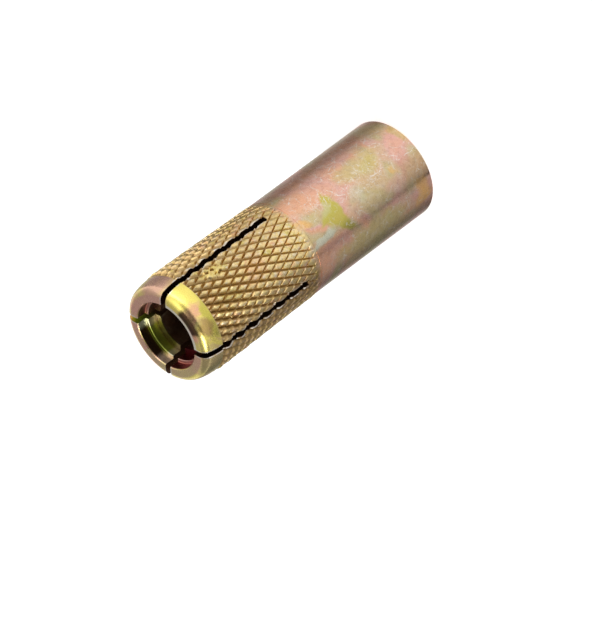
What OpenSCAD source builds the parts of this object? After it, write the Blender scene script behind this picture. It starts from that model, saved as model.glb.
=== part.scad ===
// Drop-in expansion anchor for a 12 mm bolt, unset, standing on its threaded end.
// Lengths are in millimetres. The axis is Z, from the threaded end up to the slotted mouth.

/* [Sleeve] */
// Length of the sleeve from the threaded end to the mouth
sleeve_l = 50; // [46:1:60]
// Diameter of the smooth body
body_d = 16; // [15:0.1:18]
// Rounding of the outer edge at the threaded end
end_round_r = 0.6; // [0.2:0.1:1]

/* [Threaded hole] */
// Major diameter of the thread
thread_major_d = 12; // [11.6:0.1:12.4]
// Tapping diameter of the thread, over its crests
thread_minor_d = 10.2; // [9.6:0.1:10.4]
// Length of the threaded hole, to the ledge that stops the plug
thread_l = 22; // [18:0.5:23]
// How much wider than the thread the entry countersink is
entry_margin = 0.4; // [0.2:0.1:0.8]

/* [Plug bore and taper] */
// Diameter of the smooth bore that guides the plug
plug_bore_d = 10.8; // [10.6:0.1:11.4]
// Diameter of the narrow waist at the end of the taper
waist_d = 8.2; // [7.6:0.1:9]
// Length of the taper from the plug bore to the waist
taper_l = 13.7; // [11:0.1:15]

/* [Mouth] */
// Diameter of the recess just inside the mouth
recess_d = 11.1; // [10.8:0.1:11.6]
// Depth of the recess below the mouth
recess_depth = 1.7; // [1:0.1:2]
// Diameter of the relief below the recess
relief_d = 10.1; // [9.6:0.1:10.6]
// Depth below the mouth at which the relief ends on the waist
relief_depth = 3.3; // [2.6:0.1:4]
// Chamfer on the recess's edge at the mouth
mouth_chamfer = 0.15; // [0.05:0.05:0.3]

/* [Nose] */
// Length of the smooth nose between the mouth and the knurl
nose_l = 3.4; // [3:0.1:4.5]
// Diameter of the nose where the knurl ends
nose_d = 16.4; // [16:0.1:17]
// Radius of the nose's long convex curve
nose_curve_r = 8.8; // [8:0.1:12]
// Radius of the rounding between that curve and the end face
nose_edge_r = 1.5; // [0.8:0.1:2]

/* [Slots] */
// Number of slots, evenly spaced
slot_count = 4; // [3:1:6]
// Width of each slot
slot_w = 0.9; // [0.6:0.1:1.4]
// Length of each slot from the mouth
slot_l = 22; // [18:0.5:26]

/* [Knurl] */
// Length of the knurled band
knurl_l = 21.6; // [18:0.1:24]
// Number of diamonds round the sleeve
knurl_count = 38; // [30:1:46]
// Angle of the grooves to the axis, in degrees
knurl_angle = 25; // [20:1:35]
// Diameter over the diamonds next to the nose
knurl_nose_d = 16.84; // [16.6:0.02:17.2]
// Diameter over the diamonds near the smooth body
knurl_body_d = 16.16; // [16.06:0.02:16.4]
// Diameter over the bottoms of the grooves
knurl_root_d = 15.66; // [15.3:0.02:15.8]
// Share of a diamond's width that is flat on top, next to the nose
flat_share_nose = 0.3; // [0.15:0.05:0.6]
// Share of a diamond's width that is flat on top, near the smooth body
flat_share_body = 0.78; // [0.5:0.02:0.85]

/* [Expander plug] */
// Length of the plug
plug_l = 15; // [13:0.5:16]
// Length of the plug's straight land at its wide end
plug_land_l = 3; // [2:0.1:4]
// Gap all round between the plug's land and the plug bore
plug_clearance = 0.1; // [0.05:0.01:0.2]
// Chamfer round the plug's wide end
plug_edge = 0.1; // [0.05:0.01:0.15]
// Chamfer round the plug's narrow end
plug_tip_chamfer = 0.6; // [0.3:0.1:1]

/* [Hidden] */
$fn = 96;

// Spare length by which a cut runs past a face
over = 1;
// Depth by which the knurled band is rooted in the turned body
knurl_root_depth = 0.6;
// Length by which the knurled band runs under the shoulders at its ends
knurl_lap = 0.1;
// Gap between the turned core and the bottoms of the grooves
core_gap = 0.15;
// How far the first half row of diamonds lies below the smooth body
first_row_drop = 0.02;
// Steps in an outline's arc
arc_steps = 12;

// Heights along the axis
knurl_top_z = sleeve_l - nose_l;
knurl_low_z = knurl_top_z - knurl_l;
waist_z = sleeve_l - relief_depth;
taper_z = waist_z - taper_l;
slot_z = sleeve_l - slot_l;

// Rows of diamonds, with a half row at each end of the band
knurl_pitch = 360 / knurl_count;
ideal_row = PI * knurl_body_d / knurl_count / 2 / tan(knurl_angle);
knurl_rows = round((knurl_l + 2 * knurl_lap) / ideal_row);
knurl_row_l = (knurl_l + 2 * knurl_lap) / knurl_rows;
band_z = knurl_low_z - knurl_lap;

// Plug sizes that follow from the bore and its taper
taper_slope = (plug_bore_d - waist_d) / 2 / taper_l;
plug_r = plug_bore_d / 2 - plug_clearance;
plug_cone_l = plug_l - plug_land_l;

// Points of an arc about a centre, from one angle to another
function arc(centre, r, from, to) = [
    for (i = [0 : arc_steps])
        let (a = from + (to - from) * i / arc_steps)
        centre + r * [cos(a), sin(a)]
];

// The long curve's centre, and the edge rounding's centre inside it
nose_centre = [nose_d / 2 - nose_curve_r, knurl_top_z];
edge_rise = nose_l - nose_edge_r;
edge_reach = sqrt(pow(nose_curve_r - nose_edge_r, 2) - pow(edge_rise, 2));
edge_centre = nose_centre + [edge_reach, edge_rise];
edge_angle = atan(edge_rise / edge_reach);

// Outline of the turned sleeve before it is bored: smooth body, knurl core and nose
module sleeve_outline() {
    body_r = body_d / 2;
    core_r = knurl_root_d / 2 - core_gap;
    polygon(concat(
        [[0, 0]],
        arc([body_r - end_round_r, end_round_r], end_round_r, -90, 0),
        [[body_r, knurl_low_z], [core_r, knurl_low_z], [core_r, knurl_top_z]],
        arc(nose_centre, nose_curve_r, 0, edge_angle),
        arc(edge_centre, nose_edge_r, edge_angle, 90),
        [[0, sleeve_l]]
    ));
}

// Outline of everything that is bored out along the axis
module bore_outline() {
    entry_r = thread_major_d / 2 + entry_margin;
    minor_r = thread_minor_d / 2;
    recess_r = recess_d / 2;
    polygon([
        [0, -over],
        [entry_r, -over],
        [entry_r, 0],
        [minor_r, entry_r - minor_r],
        [minor_r, thread_l],
        [plug_bore_d / 2, thread_l],
        [plug_bore_d / 2, taper_z],
        [waist_d / 2, waist_z],
        [relief_d / 2, waist_z],
        [relief_d / 2, sleeve_l - recess_depth],
        [recess_r, sleeve_l - recess_depth],
        [recess_r, sleeve_l - mouth_chamfer],
        [recess_r + mouth_chamfer, sleeve_l],
        [recess_r + mouth_chamfer, sleeve_l + over],
        [0, sleeve_l + over]
    ]);
}

// Radius over the flats of the diamonds at height z: it rises towards the nose
function flat_r(z) =
    let (share = (z - band_z) / (knurl_top_z + knurl_lap - band_z))
    z <= band_z ? body_d / 2 - first_row_drop : (knurl_body_d + (knurl_nose_d - knurl_body_d) * share) / 2;

// Share of a diamond that is flat at height z
function flat_share(z) =
    let (share = (z - band_z) / (knurl_top_z + knurl_lap - band_z))
    flat_share_body + (flat_share_nose - flat_share_body) * share;

function on_ring(r, a, z) = [r * cos(a), r * sin(a), z];

// The knurled band: rows of staggered flat-topped diamonds between two crossing sets of grooves.
// Each diamond has a root point to its left, right, lower and upper side, shared with its neighbours.
module knurled_band() {
    n = knurl_count;
    last = knurl_rows;
    shift = [0, 0.5];
    root_r = knurl_root_d / 2;
    inner_r = root_r - knurl_root_depth;

    // Numbers of the points in the lists below: first all roots, then all flats, then the inner rings
    diamonds = (last + 1) * n;
    corners = 4;
    function root_id(row, i) = row * n + (i + n) % n;
    function flat_id(row, i, side) = diamonds + (row * n + (i + n) % n) * corners + side;
    function inner_id(end, i) = diamonds * (1 + corners) + end * n + (i + n) % n;
    // The root point on the next row that lies straight above or below diamond i of this row
    function beside(row, i) = row % 2 == 1 ? i : i - 1;

    roots = [
        for (row = [0 : last], i = [0 : n - 1])
            on_ring(root_r, (i + 0.5 + shift[row % 2]) * knurl_pitch, band_z + row * knurl_row_l)
    ];
    // Corners of each flat, in the order left, right, lower, upper
    flats = [
        for (row = [0 : last], i = [0 : n - 1])
            let (
                z = band_z + row * knurl_row_l,
                share = flat_share(z),
                low = max(z - share * knurl_row_l, band_z),
                high = min(z + share * knurl_row_l, band_z + last * knurl_row_l),
                a = (i + shift[row % 2]) * knurl_pitch,
                half = share * knurl_pitch / 2
            )
            each [
                on_ring(flat_r(z), a - half, z),
                on_ring(flat_r(z), a + half, z),
                on_ring(flat_r(low), a, low),
                on_ring(flat_r(high), a, high)
            ]
    ];
    inner = [
        for (end = [0, 1], i = [0 : n - 1])
            on_ring(inner_r, (i + 0.5 + shift[(end * last) % 2]) * knurl_pitch, band_z + end * last * knurl_row_l)
    ];

    upper_half = [
        for (row = [0 : last - 1], i = [0 : n - 1])
            let (
                above = root_id(row + 1, beside(row, i)),
                l = flat_id(row, i, 0),
                r = flat_id(row, i, 1),
                u = flat_id(row, i, 3)
            )
            each [
                [l, u, r],
                [r, u, above, root_id(row, i)],
                [u, l, root_id(row, i - 1), above]
            ]
    ];
    lower_half = [
        for (row = [1 : last], i = [0 : n - 1])
            let (
                below = root_id(row - 1, beside(row, i)),
                l = flat_id(row, i, 0),
                r = flat_id(row, i, 1),
                d = flat_id(row, i, 2)
            )
            each [
                [l, r, d],
                [d, r, root_id(row, i), below],
                [l, d, below, root_id(row, i - 1)]
            ]
    ];
    low_end = [
        for (i = [0 : n - 1])
            [
                root_id(0, i - 1), flat_id(0, i, 0), flat_id(0, i, 1), root_id(0, i),
                inner_id(0, i), inner_id(0, i - 1)
            ]
    ];
    high_end = [
        for (i = [0 : n - 1])
            [
                inner_id(1, i - 1), inner_id(1, i), root_id(last, i),
                flat_id(last, i, 1), flat_id(last, i, 0), root_id(last, i - 1)
            ]
    ];
    inner_wall = [
        for (i = [0 : n - 1])
            [inner_id(0, i - 1), inner_id(0, i), inner_id(1, i), inner_id(1, i - 1)]
    ];
    polyhedron(
        points = concat(roots, flats, inner),
        faces = concat(upper_half, lower_half, low_end, high_end, inner_wall)
    );
}

// Saw cuts from the mouth through the wall on every side
module slots() {
    for (i = [0 : slot_count - 1])
        rotate([0, 0, i * 360 / slot_count])
            translate([0, -slot_w / 2, slot_z])
                cube([body_d, slot_w, slot_l + over]);
}

// One steel piece: threaded hole, plug bore, taper, mouth, knurled leaves and rounded nose
module sleeve() {
    color([0.78, 0.66, 0.40])
    difference() {
        union() {
            rotate_extrude() sleeve_outline();
            knurled_band();
        }
        rotate_extrude() bore_outline();
        slots();
    }
}

// The cone that a setting tool drives towards the mouth, resting on the ledge above the thread
module expander_plug() {
    tip_r = plug_r - taper_slope * plug_cone_l;
    color([0.62, 0.62, 0.60])
    translate([0, 0, thread_l])
    rotate_extrude()
        polygon([
            [0, 0],
            [plug_r - plug_edge, 0],
            [plug_r, plug_edge],
            [plug_r, plug_land_l],
            [tip_r + taper_slope * plug_tip_chamfer, plug_l - plug_tip_chamfer],
            [tip_r - plug_tip_chamfer / 2, plug_l],
            [0, plug_l]
        ]);
}

sleeve();
expander_plug();
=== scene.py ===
"""Drop-in anchor for a 12 mm bolt: a knurled, slotted sleeve in yellow zinc and the steel plug inside it.

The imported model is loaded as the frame. The sleeve and the plug are modelled again here in finer detail
over it, and given their finishes. Shapes are worked out in millimetres, and meshes are written in metres.
"""

import math
from types import SimpleNamespace

import bpy
import numpy as np
from bpy.props import FloatProperty, FloatVectorProperty, IntProperty, PointerProperty
from bpy.types import Operator, Panel, PropertyGroup
from mathutils import Matrix, Vector


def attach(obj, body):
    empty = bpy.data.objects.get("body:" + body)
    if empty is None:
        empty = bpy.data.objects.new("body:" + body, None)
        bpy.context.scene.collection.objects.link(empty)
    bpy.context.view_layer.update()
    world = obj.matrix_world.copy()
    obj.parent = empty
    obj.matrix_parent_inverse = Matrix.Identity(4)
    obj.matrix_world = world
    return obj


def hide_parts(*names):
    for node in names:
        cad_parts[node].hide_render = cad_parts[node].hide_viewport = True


bl_info = {
    "name": "Drop-in anchor",
    "version": (1, 0, 0),
    "blender": (4, 5, 0),
    "location": "View3D > Sidebar > Anchor",
    "description": "Builds a knurled expansion anchor with its plug, in a plain studio",
    "category": "Add Mesh",
}

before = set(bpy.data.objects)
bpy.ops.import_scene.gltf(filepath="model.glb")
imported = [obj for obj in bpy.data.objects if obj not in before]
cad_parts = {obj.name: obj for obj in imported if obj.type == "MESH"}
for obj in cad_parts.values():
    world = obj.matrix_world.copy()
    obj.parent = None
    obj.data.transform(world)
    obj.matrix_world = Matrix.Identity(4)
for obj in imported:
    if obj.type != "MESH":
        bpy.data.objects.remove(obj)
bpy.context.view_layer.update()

MM = 0.001


def length(name, description, default):
    """A size in metres, shown in the scene's length unit."""
    return FloatProperty(
        name=name, description=description, default=default, min=0.0, unit="LENGTH", precision=5
    )


def portion(name, description, default):
    """A part of a whole, from nought to one."""
    return FloatProperty(
        name=name, description=description, default=default, min=0.0, max=1.0, subtype="FACTOR"
    )


def heading(name, description, degrees):
    """An angle."""
    return FloatProperty(name=name, description=description, default=math.radians(degrees), subtype="ANGLE")


def colour(name, description, default):
    """A scene-linear colour."""
    return FloatVectorProperty(
        name=name, description=description, default=default, size=3, min=0.0, max=1.0, subtype="COLOR"
    )


# Sizes


class SleeveSizes(PropertyGroup):
    length: length("Length", "Threaded end to mouth", 0.050)
    body_d: length("Body diameter", "Smooth half of the sleeve", 0.016)
    end_round_r: length("End rounding", "Outer edge at the threaded end", 0.0006)
    thread_major_d: length("Thread diameter", "Over the thread's roots", 0.012)
    thread_minor_d: length("Tapping diameter", "Over the thread's crests", 0.0102)
    thread_pitch: length("Thread pitch", "One turn of the thread", 0.00175)
    thread_l: length("Threaded length", "To the ledge that stops the plug", 0.022)
    entry_margin: length("Entry margin", "Countersink beyond the thread, on the radius", 0.0004)
    plug_bore_d: length("Plug bore", "Smooth bore above the thread", 0.0108)
    waist_d: length("Waist", "Narrow end of the taper", 0.0082)
    taper_l: length("Taper length", "Plug bore to waist", 0.0137)
    recess_d: length("Recess diameter", "Just inside the mouth", 0.0111)
    recess_depth: length("Recess depth", "Below the mouth", 0.0017)
    relief_d: length("Relief diameter", "Below the recess", 0.0101)
    relief_depth: length("Relief depth", "Below the mouth, to the waist", 0.0033)
    mouth_chamfer: length("Mouth chamfer", "Inner edge of the end face", 0.00015)
    step_edge: length("Step edge", "Chamfer between recess and relief", 0.00008)
    nose_l: length("Nose length", "Mouth to knurl", 0.0034)
    nose_d: length("Nose diameter", "Where the knurl ends", 0.0164)
    nose_curve_r: length("Nose curve", "Radius of the long curve", 0.0088)
    nose_edge_r: length("Nose edge", "Radius at the end face", 0.0015)
    slot_count: IntProperty(name="Slots", description="Saw cuts round the mouth", default=4, min=2, max=8)
    slot_w: length("Slot width", "One saw cut", 0.0009)
    slot_l: length("Slot length", "From the mouth", 0.022)
    slot_edge: length("Slot edge", "Chamfer along the cuts", 0.00010)


class KnurlSizes(PropertyGroup):
    length: length("Length", "Knurled band", 0.0216)
    count: IntProperty(name="Diamonds", description="Round the sleeve", default=38, min=12, max=80)
    angle: heading("Groove angle", "To the axis", 25)
    nose_d: length("Diameter at the nose", "Over the diamonds", 0.01684)
    body_d: length("Diameter at the body", "Over the diamonds", 0.01616)
    root_d: length("Root diameter", "Over the bottoms of the grooves", 0.01566)
    flat_nose: portion("Flat share at the nose", "Between the deep grooves", 0.26)
    flat_body: portion("Flat share at the body", "Between the deep grooves", 0.76)
    light_flat_nose: portion("Light groove, nose", "Flat share between the light grooves", 0.52)
    light_flat_body: portion("Light groove, body", "Flat share between the light grooves", 0.82)
    light_depth: portion("Light groove depth", "Share of the deep grooves' depth", 0.80)
    run_out: length("Run-out", "Length over which the grooves fade into the body", 0.0016)
    lap: length("Lap", "Band running under the shoulders", 0.0001)
    root_depth: length("Rooting", "Band's depth in the turned core", 0.0006)
    core_gap: length("Core gap", "Turned core below the grooves' bottoms", 0.00015)


class PlugSizes(PropertyGroup):
    length: length("Length", "Whole plug", 0.015)
    land_l: length("Land", "Straight part at the wide end", 0.003)
    clearance: length("Clearance", "Round the land, in the bore", 0.0001)
    edge_r: length("Wide edge", "Rounding of the wide end", 0.00025)
    tip_r: length("Narrow edge", "Rounding of the narrow end", 0.0006)


class FinishColours(PropertyGroup):
    rose: colour("Rose", "Pink cast of the plating", (0.80, 0.45, 0.37))
    salmon: colour("Salmon", "Warm cast of the plating", (0.86, 0.46, 0.29))
    straw: colour("Straw", "Plain yellow cast", (0.66, 0.50, 0.30))
    lime: colour("Lime", "Yellow-green cast", (0.58, 0.52, 0.09))
    olive: colour("Olive", "Dull green-gold cast", (0.64, 0.53, 0.24))
    haze: colour("Haze", "Blue-grey cast of the thickest film", (0.72, 0.74, 0.58))
    orange: colour("Orange", "Deep orange cast", (0.94, 0.54, 0.18))
    umber: colour("Umber", "Reddish brown cast", (0.62, 0.29, 0.17))
    # Pale is also the tone of painted glints and painted highlights
    pale: colour("Pale", "Rubbed and scratched places", (0.92, 0.88, 0.80))
    knurl: colour("Knurl", "Gold of the knurled band", (0.98, 0.77, 0.37))
    nose: colour("Nose", "Bright yellow of the nose", (0.94, 0.79, 0.19))
    # The bore's dark brown is painted shade inside the bore and the saw cuts
    bore: colour("Bore", "Brown of the bore", (0.14, 0.07, 0.035))
    crimson: colour("Crimson", "Dark red cast inside the mouth", (0.36, 0.05, 0.06))
    steel: colour("Plug steel", "Bare turned steel", (0.52, 0.51, 0.49))
    shown_side: heading("Shown side", "Heading of the line from which the patches' angles count", -42.5)


class StudioSettings(PropertyGroup):
    azimuth: heading("Azimuth", "Camera round the anchor", 49.74)
    elevation: heading("Elevation", "Camera above level", 33.53)
    mouth_heading: heading("Mouth heading", "Direction of the mouth in the picture", 216.82)
    distance: length("Distance", "Camera to the anchor", 1.25)
    picture_side: length("Picture side", "Height of the picture at the anchor", 0.090713)
    shift_right: length("Aim right", "Picture centre, right of the anchor's middle", 0.002194)
    shift_down: length("Aim down", "Picture centre, below the anchor's middle", 0.008653)


def millimetres(group):
    """A group's values by name, with its lengths in millimetres."""
    values = {}
    for prop in group.bl_rna.properties:
        if prop.identifier not in {"rna_type", "name"}:
            value = getattr(group, prop.identifier)
            values[prop.identifier] = value / MM if prop.unit == "LENGTH" else value
    return SimpleNamespace(**values)


# Mesh helpers


def make_object(name, verts, faces):
    """An object at the origin from vertices in millimetres."""
    mesh = bpy.data.meshes.new(name)
    mesh.from_pydata((np.asarray(verts, float) * MM).tolist(), [], faces)
    mesh.validate()
    mesh.update()
    piece = bpy.data.objects.new(name, mesh)
    bpy.context.scene.collection.objects.link(piece)
    return piece


def arc(centre, radius, start, end, steps):
    """Points (r, z) of an arc between two angles in degrees."""
    angles = np.radians(np.linspace(start, end, steps + 1))
    return [(centre[0] + radius * math.cos(a), centre[1] + radius * math.sin(a)) for a in angles]


def lathe(name, outline, segments):
    """Turns an outline of (r, z) points round Z. The first and last points lie on the axis."""
    angles = np.linspace(0, 2 * math.pi, segments, endpoint=False)
    rings = outline[1:-1]
    verts = [(0, 0, outline[0][1])]
    for r, z in rings:
        verts += [(r * math.cos(a), r * math.sin(a), z) for a in angles]
    verts.append((0, 0, outline[-1][1]))
    faces = []
    last = len(verts) - 1
    top = 1 + (len(rings) - 1) * segments
    for i in range(segments):
        j = (i + 1) % segments
        faces.append((0, 1 + j, 1 + i))
        faces.append((last, top + i, top + j))
        for ring in range(len(rings) - 1):
            a = 1 + ring * segments
            b = a + segments
            faces.append((a + i, a + j, b + j, b + i))
    return make_object(name, verts, faces)


def cut(target, tool, operation):
    """Adds a Boolean modifier with a closed tool."""
    step = target.modifiers.new(tool.name, "BOOLEAN")
    step.solver = "MANIFOLD"
    step.operation = operation
    step.object = tool


def apply_cuts(target, tools, sharp_angle):
    """Applies the Boolean modifiers, drops their tools and shades the result."""
    graph = bpy.context.evaluated_depsgraph_get()
    finished = bpy.data.meshes.new_from_object(target.evaluated_get(graph))
    finished.name = target.name
    target.modifiers.clear()
    target.data = finished
    for tool in tools:
        bpy.data.objects.remove(tool)
    finished.shade_smooth()
    finished.set_sharp_from_angle(angle=sharp_angle)


# Sleeve


def nose_arcs(sleeve):
    """The nose's long curve and its rounded edge, from the knurl to the end face."""
    nose_low = sleeve.length - sleeve.nose_l
    curve_r = sleeve.nose_curve_r
    edge_r = sleeve.nose_edge_r
    centre = (sleeve.nose_d / 2 - curve_r, nose_low)
    rise = sleeve.nose_l - edge_r
    reach = math.sqrt((curve_r - edge_r) ** 2 - rise ** 2)
    edge_centre = (centre[0] + reach, centre[1] + rise)
    turn = math.degrees(math.atan(rise / reach))
    return arc(centre, curve_r, 0, turn, 14) + arc(edge_centre, edge_r, turn, 90, 12)[1:]


def sleeve_outline(sleeve, knurl):
    """Smooth body, core under the knurl, and nose, before anything is bored."""
    body_r = sleeve.body_d / 2
    round_r = sleeve.end_round_r
    core_r = knurl.root_d / 2 - knurl.core_gap
    knurl_high = sleeve.length - sleeve.nose_l
    knurl_low = knurl_high - knurl.length
    outline = [(0, 0)]
    outline += arc((body_r - round_r, round_r), round_r, -90, 0, 8)
    outline += [(body_r, knurl_low), (core_r, knurl_low), (core_r, knurl_high)]
    outline += nose_arcs(sleeve)
    outline.append((0, sleeve.length))
    return outline


def bore_outline(sleeve):
    """Everything bored along the axis, from the threaded end to the mouth."""
    top = sleeve.length
    minor = sleeve.thread_minor_d / 2
    entry = sleeve.thread_major_d / 2 + sleeve.entry_margin
    ledge = sleeve.thread_l
    bore = sleeve.plug_bore_d / 2
    waist = sleeve.waist_d / 2
    waist_z = top - sleeve.relief_depth
    relief = sleeve.relief_d / 2
    step = top - sleeve.recess_depth
    recess = sleeve.recess_d / 2
    chamfer = sleeve.mouth_chamfer
    edge = sleeve.step_edge
    past = 1
    return [
        (0, -past),
        (entry, -past),
        (entry, 0),
        (minor, entry - minor),
        (minor, ledge),
        (bore, ledge),
        (bore, waist_z - sleeve.taper_l),
        (waist, waist_z),
        (relief, waist_z),
        (relief, step - edge),
        (relief + edge, step),
        (recess, step),
        (recess, top - chamfer),
        (recess + chamfer, top),
        (recess + chamfer, top + past),
        (0, top + past),
    ]


def thread_tool(sleeve, steps_per_turn=72):
    """A ridge swept along the helix, which cuts the thread out of the tapping bore."""
    pitch = sleeve.thread_pitch
    minor = sleeve.thread_minor_d / 2
    major = sleeve.thread_major_d / 2
    start = -1.2
    end = sleeve.thread_l - 1.1
    run_out_turns = 0.5
    inner = minor - 0.1
    slope = math.tan(math.radians(30))
    crest = pitch / 16
    steps = int((end - start) / pitch * steps_per_turn)
    verts = []
    for i in range(steps + 1):
        share = i / steps
        z = start + (end - start) * share
        angle = 2 * math.pi * (z - start) / pitch
        run_out = min(1.0, (1 - share) * steps / steps_per_turn / run_out_turns)
        outer = inner + (major - inner) * max(run_out, 0.02)
        half = crest + (outer - inner) * slope
        for r, dz in ((inner, -half), (outer, -crest), (outer, crest), (inner, half)):
            verts.append((r * math.cos(angle), r * math.sin(angle), z + dz))
    faces = [(0, 1, 2, 3)]
    for i in range(steps):
        a = 4 * i
        b = a + 4
        for n in range(4):
            m = (n + 1) % 4
            faces.append((a + n, b + n, b + m, a + m))
    last = 4 * steps
    faces.append((last + 3, last + 2, last + 1, last))
    return make_object("thread_tool", verts, faces)


def knurl_top_radius(sleeve, knurl, z):
    """Radius over the diamonds: it rises towards the nose."""
    nose_low = sleeve.length - sleeve.nose_l
    share = np.clip((z - nose_low + knurl.length) / knurl.length, 0, 1)
    return (knurl.body_d + (knurl.nose_d - knurl.body_d) * share) / 2


def outer_radius(sleeve, knurl, z):
    """Radius that the chamfer along a saw cut follows. It stops on the nose's rounded edge."""
    nose_low = sleeve.length - sleeve.nose_l
    if z < nose_low - knurl.length:
        return sleeve.body_d / 2
    if z < nose_low:
        return knurl_top_radius(sleeve, knurl, z)
    stop_r = knurl.root_d / 2 - 0.1
    followed = [(r, height) for r, height in nose_arcs(sleeve) if r > stop_r]
    return float(np.interp(z, [height for _, height in followed], [r for r, _ in followed]))


def slot_tool(sleeve, knurl):
    """Saw cuts through the wall, with a small chamfer that follows the outside."""
    top = sleeve.length
    nose_low = top - sleeve.nose_l
    half = sleeve.slot_w / 2
    edge = sleeve.slot_edge
    inner = 2.5
    stand = 1.0
    nose_steps = 14
    heights = [top - sleeve.slot_l, nose_low - 0.01, nose_low]
    heights += [nose_low + (top - nose_low) * (1 - (1 - i / nose_steps) ** 2) for i in range(1, nose_steps)]
    heights += [top - 0.003]
    sections = []
    for z in heights:
        r = outer_radius(sleeve, knurl, z) - edge
        rim = r + edge + stand
        flare = half + edge + stand
        sections.append([
            (inner, -half, z), (r, -half, z), (rim, -flare, z),
            (rim, flare, z), (r, half, z), (inner, half, z),
        ])
    sections.append([(x, y, top + 1) for x, y, _ in sections[-1]])
    corners = len(sections[0])
    verts = []
    faces = []
    for n in range(sleeve.slot_count):
        turn = 2 * math.pi * n / sleeve.slot_count
        cos, sin = math.cos(turn), math.sin(turn)
        base = len(verts)
        for section in sections:
            verts += [(x * cos - y * sin, x * sin + y * cos, z) for x, y, z in section]
        faces.append(tuple(base + i for i in reversed(range(corners))))
        for row in range(len(sections) - 1):
            a = base + corners * row
            for i in range(corners):
                j = (i + 1) % corners
                faces.append((a + i, a + j, a + corners + j, a + corners + i))
        end = base + corners * (len(sections) - 1)
        faces.append(tuple(end + i for i in range(corners)))
    return make_object("slot_tool", verts, faces)


# Knurl

# Height of the knurl's surface at its grid steps, from the middle of a flat to the bottom of a groove
FLAT_TO_GROOVE = np.array([1.0, 0.97, 0.86, 0.38, 0.0])
CELLS = len(FLAT_TO_GROOVE) - 1

# The crushed place beside one slot: angle from the shown side's middle line, distance from the mouth,
# half-width and half-length
CRUSHED_ANGLE = 27
CRUSHED_DEPTH = 8.6
CRUSHED_HALF_W = 1.0
CRUSHED_HALF_L = 2.0


def ripple(angle, z, seed):
    """Smooth, repeatable unevenness between -1 and 1 round and along the band."""
    rng = np.random.default_rng(seed)
    total = np.zeros_like(angle * 1.0)
    for _ in range(6):
        round_count = rng.integers(1, 9)
        along = rng.uniform(-0.9, 0.9)
        phase = rng.uniform(0, 2 * math.pi)
        total += np.sin(round_count * angle + along * z + phase)
    return total / 3.2


def groove_steps(position, flat):
    """Splits a groove coordinate into its diamond's middle and the step from it.

    The step is moved so that the grid's lines lie on the flat's edge and on the groove's slope.
    """
    middle = 2 * np.round(position / 2)
    step = position - middle
    knots = [0 * flat, 0.62 * flat, flat, (flat + 1) / 2, 0 * flat + 1]
    index = np.clip(np.round(np.abs(step) * CELLS).astype(int), 0, CELLS)
    return middle, step, np.sign(step) * np.choose(index, knots), index


def crush(radius, top, angle, z, sleeve, facing):
    """Flattens the diamonds at the crushed place and pits it."""
    middle_angle = facing + math.radians(CRUSHED_ANGLE)
    gap = (angle - middle_angle + math.pi) % (2 * math.pi) - math.pi
    across = gap * sleeve.body_d / 2 / CRUSHED_HALF_W
    along = (z - (sleeve.length - CRUSHED_DEPTH)) / CRUSHED_HALF_L
    place = np.exp(-(across ** 2 + along ** 2) ** 2)
    pits = np.clip(ripple(angle * 9, z * 7, 11) * 2.0, 0, 1)
    crushed = top - 0.07 - 0.38 * pits
    return radius + (crushed - radius) * np.clip(place * 1.2, 0, 1)


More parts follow.
